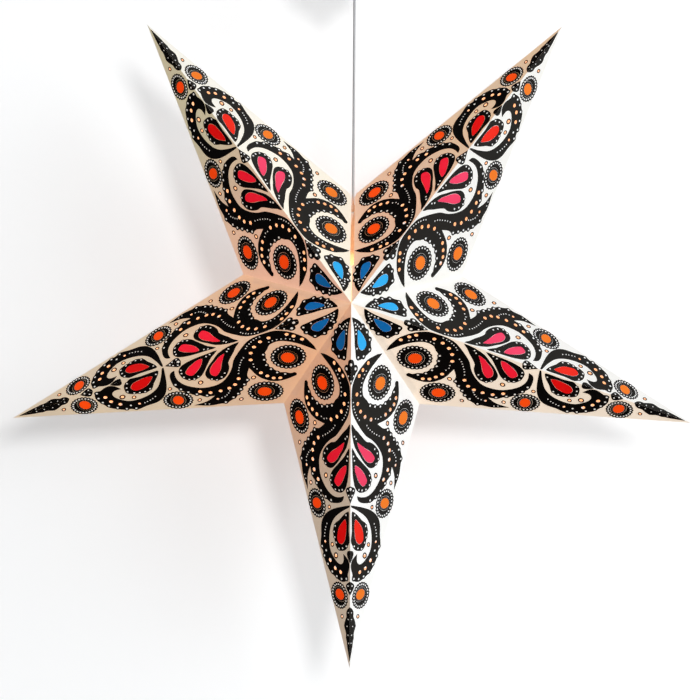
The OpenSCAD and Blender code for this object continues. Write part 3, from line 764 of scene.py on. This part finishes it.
def tab_corners(panel):
    """The four corners of a glue tab, in the plane of the panel that it is stuck to."""
    notch = Vector(panel.notch_uv)
    along = notch.normalized()
    across = Vector((along.y, -along.x))
    end = NOTCH_R - TAB_INSET
    first = TAB_INSET / math.cos(math.atan2(HALF_DEPTH, NOTCH_R))
    last = notch.length - first
    chamfer = TAB_W * 0.6
    return [
        along * first, along * last,
        along * (last - chamfer) + across * TAB_W, along * (first + chamfer) + across * TAB_W,
    ]


class Build:
    """Points, faces and material numbers that are gathered for one mesh."""

    def __init__(self):
        self.coords = []
        self.faces = []
        self.indices = []

    def add(self, points, faces, index, flipped=False):
        start = len(self.coords)
        self.coords += points
        for face in faces:
            numbers = tuple(start + k for k in face)
            self.faces.append(numbers[::-1] if flipped else numbers)
            self.indices.append(index)


def paper_sheet(build, panel):
    """Both faces of one panel's card, the walls of its holes and its edge at the valley."""
    holes = []
    for hole in HOLES:
        holes.append([fit_art(p, panel.ridge, panel.notch_uv) for p in turned_left(list(hole))])
    for depth, outside in ((0, True), (PAPER_T, False)):
        chain = [panel.uv(p) for p in panel.valley_chain(depth)] + [panel.uv(panel.tip_at(depth))]
        outline = [(p[0] / MM, p[1] / MM) for p in chain]
        shapes = [(HOLE, [(p[0] / MM, p[1] / MM) for p in hole]) for hole in holes]
        if panel.has_tab and outside:
            shapes.insert(0, (TAB_STRIP, [(p[0] / MM, p[1] / MM) for p in tab_corners(panel)]))
        points, triangles = cut_up(outline, shapes)
        places = [panel.at((p[0] * MM, p[1] * MM), -depth) for p in points]
        for kind, index in ((CARD, 0 if outside else 1), (TAB_STRIP, 2)):
            faces = [corners for corners, found in triangles if found == kind]
            build.add(places, faces, index, panel.flipped == outside)
    for hole in holes:
        top = [panel.at(p, 0) for p in hole]
        low = [panel.at(p, -PAPER_T) for p in hole]
        count = len(hole)
        walls = [(k, (k + 1) % count, (k + 1) % count + count, k + count) for k in range(count)]
        build.add(top + low, walls, 1, panel.flipped)
    top = panel.valley_chain(0)
    low = panel.valley_chain(PAPER_T)
    count = len(top)
    walls = [(k, k + 1, k + 1 + count, k + count) for k in range(count - 1)]
    build.add(top + low, walls, 0)


def glue_tab(build, panel):
    """Tab of this point that is folded round the valley and stuck under the next panel."""
    corners = tab_corners(panel)
    top = [panel.at(c, -PAPER_T - GLUE_GAP) for c in corners]
    low = [panel.at(c, -2 * PAPER_T - GLUE_GAP) for c in corners]
    faces = [(0, 1, 2, 3), (7, 6, 5, 4)]
    faces += [(k, k + 4, (k + 1) % 4 + 4, (k + 1) % 4) for k in range(4)]
    build.add(top + low, faces, 1, panel.flipped)


def make_point(index):
    """One point of the star: two panels in front and two behind, with its glue tabs."""
    build = Build()
    for panel in panels_of(index):
        paper_sheet(build, panel)
    for panel in panels_of((index + 1) % len(POINTS)):
        if panel.has_tab:
            glue_tab(build, panel)
    point = POINTS[index]
    looks = [PAPER[point], INSIDE, TABBED[point]]
    piece = new_piece("star_" + point, build.coords, build.faces, looks, build.indices)
    tidy_normals(piece)
    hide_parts("point_" + point)


def ink_slab(build, panel, kinds, layer, material_index):
    """Closed thin layer of print over the triangles of the given kinds."""
    chosen = [corners for corners, kind in ART_TRIANGLES if kind in kinds]
    used = sorted({k for corners in chosen for k in corners})
    number = {k: i for i, k in enumerate(used)}
    flat = [fit_art(ART_POINTS[k], panel.ridge, panel.notch_uv) for k in used]
    low = INK_GAP + layer * (INK_T + INK_GAP)
    count = len(used)
    points = [panel.at(p, low + INK_T) for p in flat] + [panel.at(p, low) for p in flat]
    faces = []
    edges = set()
    for corners in chosen:
        a, b, c = (number[k] for k in corners)
        faces.append((a, b, c))
        faces.append((c + count, b + count, a + count))
        edges.update(((a, b), (b, c), (c, a)))
    for a, b in sorted(edges):
        if (b, a) not in edges:
            faces.append((a + count, b + count, b, a))
    build.add(points, faces, material_index, panel.flipped)


# The black lies under all the colours too
UNDER_BLACK = (INK, ORANGE_FILL, RED_FILL, PINK_FILL, BLUE_FILL)
# Print of each colour: its node, its slot, its layer, and its looks by the kind of shape
PRINTS = [
    ("black", "black_ink", 0, [(BLACK, UNDER_BLACK), (DOTS, (DOT,))]),
    ("orange", "orange_ink", 1, [(ORANGE, (ORANGE_FILL,))]),
    ("red", "red_ink", 1, [(RED, (RED_FILL,)), (PINK, (PINK_FILL,))]),
    ("blue", "blue_ink", 1, [(BLUE, (BLUE_FILL,))]),
]


def make_prints(index):
    """The print of each colour on one point."""
    for colour, slot, layer, looks in PRINTS:
        build = Build()
        for panel in panels_of(index):
            for k, (material, kinds) in enumerate(looks):
                ink_slab(build, panel, kinds, layer, k)
        name = f"{colour}_ink_{POINTS[index]}"
        piece = new_piece(name, build.coords, build.faces, [m for m, _ in looks], build.indices)
        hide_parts(f"{colour}_print_{POINTS[index]}")


for number in range(len(POINTS)):
    make_point(number)
    make_prints(number)


# Cord

CORD_D = 2.2 * MM
# Straight route in millimetres, from the terminal block down to the lamp holder
CORD_ROUTE = [
    (0, 0, -14.1), (0, 0, -26), (0, 0, -40), (0, 0, -56), (0, 0, -72), (0, 0, -88), (0, 0, -104),
    (0, 0, -120), (0, 0, -136), (0, 0, -152), (0, 0, -168), (0, 0, -184), (0, 0, -200), (0, 0, -212),
    (0, 0, -224), (0, 0, -234),
]


def cord_look():
    """Grey plastic sheath, a little shiny, with faint draw lines along it."""
    look = Look("cord_sheath")
    lines = look.noise(2500, 2, (1, 1, 0.03))
    cloud = look.noise(80, 2)
    look.colour(cloud, (0.58, 0.58, 0.59), (0.66, 0.66, 0.665))
    look.rough(lines, 0.32, 0.5)
    look.bump(lines, 0.00005, 0.4)
    return look.material


def make_cord():
    """Straight cord from the terminal block to the lamp holder."""
    data = bpy.data.curves.new("cord", "CURVE")
    data.dimensions = "3D"
    data.bevel_depth = CORD_D / 2
    data.bevel_resolution = 5
    data.use_fill_caps = True
    spline = data.splines.new("POLY")
    spline.points.add(len(CORD_ROUTE) - 1)
    for point, place in zip(spline.points, CORD_ROUTE):
        point.co = (*(c * MM for c in place), 1)
    data.materials.append(cord_look())
    piece = bpy.data.objects.new("cord", data)
    bpy.context.scene.collection.objects.link(piece)
    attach(piece, "root")
    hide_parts("flex")


make_cord()


# Lamp

def glass_look():
    """Frosted warm glass, lit."""
    look = Look("bulb_glass")
    frost = look.noise(1200, 3)
    look.colour(frost, (0.95, 0.86, 0.70), (1.0, 0.93, 0.80))
    look.rough(frost, 0.3, 0.45)
    look.set(Emission_Color=(1.0, 0.58, 0.24, 1))
    level = look.scaled(look.distance_to_lamp(), 1.3, 0.45, 1.02 * BALL_R, 1.5 * BALL_R)
    look.link(level, look.shader.inputs["Emission Strength"])
    return look.material


def metal_look(name, dark, light, roughness=(0.2, 0.38), scale=900, stretch=(1, 1, 6)):
    """Metal with fine lines of its working and faint clouds."""
    look = Look(name)
    lines = look.noise(scale, 3, stretch)
    cloud = look.noise(120, 3)
    look.colour(cloud, dark, light)
    look.rough(lines, *roughness)
    look.bump(lines, 0.00003, 0.4)
    look.set(Metallic=1.0)
    return look.material


def plastic_look(name, dark, light, roughness=(0.32, 0.46)):
    """Moulded plastic with a fine skin and a little colour drift."""
    look = Look(name)
    skin = look.noise(1500, 3)
    cloud = look.noise(45, 3)
    look.colour(cloud, dark, light)
    look.rough(skin, *roughness)
    look.bump(skin, 0.00004, 0.3)
    return look.material


NECK_R = 8.0 * MM
NECK_TURN = 56
SCREW_CAP_R = 6.95 * MM
SCREW_CAP_L = 18.6 * MM
THREAD_DEPTH = 0.35 * MM
THREAD_TURNS = 5
THREAD_STEPS = 8
CONTACT_H = 1.6 * MM


def globe_profile(cap_low):
    """Round globe that runs into a neck: (radius, height) from its bottom to the cap."""
    profile = []
    for k in range(25):
        turn = math.radians(-90 + (90 + NECK_TURN) * k / 24)
        profile.append((BALL_R * math.cos(turn), LAMP.z + BALL_R * math.sin(turn)))
    shoulder = profile[-1]
    for k in range(1, 9):
        t = k / 8
        ease = t * t * (3 - 2 * t)
        radius = shoulder[0] + (NECK_R - shoulder[0]) * ease
        profile.append((radius, shoulder[1] + (cap_low - shoulder[1]) * t))
    profile.append((0, cap_low))
    profile[0] = (0, profile[0][1])
    return profile


def cap_profile(cap_low):
    """Screw cap with a rolled thread and a contact button: (radius, height) from its bottom."""
    low = cap_low + 0.1 * MM
    top = BULB_HIGH.z - CONTACT_H
    profile = [(0, low)]
    for k in range(THREAD_TURNS * THREAD_STEPS + 1):
        share = k / (THREAD_TURNS * THREAD_STEPS)
        radius = SCREW_CAP_R - THREAD_DEPTH * (1 - math.cos(math.tau * share * THREAD_TURNS)) / 2
        profile.append((radius, low + (top - cap_low - 1.2 * MM) * share))
    profile += [(4.6 * MM, top), (3.4 * MM, top + 0.2 * MM), (3.3 * MM, BULB_HIGH.z - 0.3 * MM),
                (2.6 * MM, BULB_HIGH.z), (0, BULB_HIGH.z)]
    return profile


def make_bulb():
    """Glass globe with its neck, and its metal screw cap."""
    cap_low = BULB_HIGH.z - SCREW_CAP_L
    cap_metal = metal_look("cap_metal", (0.62, 0.60, 0.55), (0.74, 0.72, 0.67))
    globe = lathe("bulb_globe", globe_profile(cap_low), glass_look(), 72)
    cap = lathe("bulb_cap", cap_profile(cap_low), cap_metal, 64)
    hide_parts("bulb")
    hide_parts("bulb")


make_bulb()


def dress(nodes, material):
    """Gives CAD nodes a material in place of their own."""
    for node in nodes:
        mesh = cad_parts[node].data
        mesh.materials.clear()
        mesh.materials.append(material)


HOLDER = plastic_look("holder", (0.70, 0.70, 0.68), (0.78, 0.78, 0.76))
MOULDING = plastic_look("insert", (0.78, 0.76, 0.72), (0.85, 0.83, 0.79), (0.5, 0.65))
BRASS = metal_look("brass", (0.62, 0.42, 0.15), (0.74, 0.53, 0.22))
ROSE = plastic_look("rose", (0.76, 0.76, 0.75), (0.83, 0.83, 0.82))
PLATE = metal_look("plate", (0.48, 0.49, 0.51), (0.60, 0.61, 0.63), (0.28, 0.45), 700, (12, 1, 1))
STEEL = metal_look("steel", (0.52, 0.52, 0.54), (0.64, 0.64, 0.66))
NYLON = plastic_look("terminal", (0.70, 0.68, 0.60), (0.78, 0.76, 0.69), (0.4, 0.55))

dress(["holder_cap", "holder_skirt", "cord_grip"], HOLDER)
dress(["holder_insert"], MOULDING)
dress(["thread_shell", "centre_contact"], BRASS)
dress(["rose_cup", "rose_gland"], ROSE)
dress(["rose_plate"], PLATE)
dress(["gland_nut", "grip_screw"], STEEL)
dress(["terminal_block"], NYLON)


# Stage and light

WALL_Y = 0.096
FLOOR_Z = -0.95
STAGE_SIZE = 14
WALL_TOP = 5.0
WALL_GREY = (0.95, 0.95, 0.95)
WALL_LIFT = 0.45
WHITE = (1, 1, 1)
COOL = (0.90, 0.965, 1.0)
WARM = (1.0, 0.56, 0.30)
# Soft lights: direction from the star, distance, size, level and colour
LIGHTS = {
    "front": ((0.30, -0.93, 0.17), 3.5, 0.75, 0.33, WHITE),
    "side": ((0.85, -0.45, 0.25), 6.0, 4.4, 0.52, COOL),
    "back_left": ((-0.55, 0.80, 0.30), 2.4, 1.2, 0.45, WHITE),
}
INNER_WATTS = 0.5
AMBIENT = (0.97, 0.98, 1.0, 1)
AMBIENT_LEVEL = 0.14


def stage_look(name, colour, lift):
    """Pale surface that the camera sees a little lighter, and that is clear from behind."""
    look = Look(name)
    grain = look.noise(60, 3)
    look.colour(grain, tuple(0.985 * c for c in colour), colour)
    look.set(Roughness=1.0, Specular_IOR_Level=0.0)
    rays = look.nodes.new("ShaderNodeLightPath")
    seen = look.maths("MAXIMUM", rays.outputs["Is Camera Ray"], rays.outputs["Is Glossy Ray"])
    seen = look.maths("MAXIMUM", seen, rays.outputs["Is Transmission Ray"])
    look.shader.inputs["Emission Color"].default_value = (1, 1, 1, 1)
    look.link(look.maths("MULTIPLY", seen, lift), look.shader.inputs["Emission Strength"])
    clear = look.nodes.new("ShaderNodeBsdfTransparent")
    mix = look.nodes.new("ShaderNodeMixShader")
    side = look.nodes.new("ShaderNodeNewGeometry")
    look.link(side.outputs["Backfacing"], mix.inputs["Fac"])
    look.link(look.shader.outputs["BSDF"], mix.inputs[1])
    look.link(clear.outputs["BSDF"], mix.inputs[2])
    look.link(mix.outputs["Shader"], look.nodes["Material Output"].inputs["Surface"])
    return look.material


def make_sheet(name, corners, material):
    """Flat stage piece that lights no diffuse surface and casts no shadow."""
    mesh = bpy.data.meshes.new(name)
    mesh.from_pydata(corners, [], [(0, 1, 2, 3)])
    mesh.materials.append(material)
    piece = bpy.data.objects.new(name, mesh)
    bpy.context.scene.collection.objects.link(piece)
    piece.visible_diffuse = False
    piece.visible_shadow = False


def make_stage():
    """Wall close behind the star, which takes its soft shadow, and a floor far below it."""
    half = STAGE_SIZE / 2
    look = stage_look("backdrop", WALL_GREY, WALL_LIFT)
    wall = [(-half, FLOOR_Z), (half, FLOOR_Z), (half, WALL_TOP), (-half, WALL_TOP)]
    floor = [(-half, -half), (half, -half), (half, half), (-half, half)]
    make_sheet("wall", [(x, WALL_Y, z) for x, z in wall], look)
    make_sheet("floor", [(x, y, FLOOR_Z) for x, y in floor], look)


def area_light(name, direction, distance, size, level, colour):
    """Soft light from a direction, with the level that a white surface facing it gets."""
    data = bpy.data.lights.new(name, "AREA")
    data.shape = "DISK"
    data.size = size
    data.energy = level * math.pi ** 2 * distance ** 2
    data.color = colour
    light = bpy.data.objects.new(name, data)
    toward = Vector(direction).normalized()
    light.location = CENTRE + toward * distance
    light.rotation_euler = toward.to_track_quat("Z", "Y").to_euler()
    light.visible_camera = False
    bpy.context.scene.collection.objects.link(light)


def make_light():
    """Soft lights round the star, the lamp's own light and a pale world that the camera sees white."""
    for name, values in LIGHTS.items():
        area_light(name, *values)
    inner = bpy.data.lights.new("inner", "POINT")
    inner.energy = INNER_WATTS
    inner.color = WARM
    inner.shadow_soft_size = BALL_R + 1 * MM
    lamp_light = bpy.data.objects.new("inner", inner)
    lamp_light.location = LAMP
    lamp_light.visible_camera = False
    bpy.context.scene.collection.objects.link(lamp_light)
    world = bpy.data.worlds.new("studio")
    world.use_nodes = True
    nodes = world.node_tree.nodes
    links = world.node_tree.links
    ambient = nodes["Background"]
    ambient.inputs["Color"].default_value = AMBIENT
    ambient.inputs["Strength"].default_value = AMBIENT_LEVEL
    white = nodes.new("ShaderNodeBackground")
    white.inputs["Strength"].default_value = 1.0
    rays = nodes.new("ShaderNodeLightPath")
    seen = nodes.new("ShaderNodeMath")
    seen.operation = "MAXIMUM"
    links.new(rays.outputs["Is Camera Ray"], seen.inputs[0])
    links.new(rays.outputs["Is Transmission Ray"], seen.inputs[1])
    mix = nodes.new("ShaderNodeMixShader")
    links.new(seen.outputs[0], mix.inputs["Fac"])
    links.new(ambient.outputs["Background"], mix.inputs[1])
    links.new(white.outputs["Background"], mix.inputs[2])
    links.new(mix.outputs["Shader"], nodes["World Output"].inputs["Surface"])
    bpy.context.scene.world = world


make_stage()
make_light()
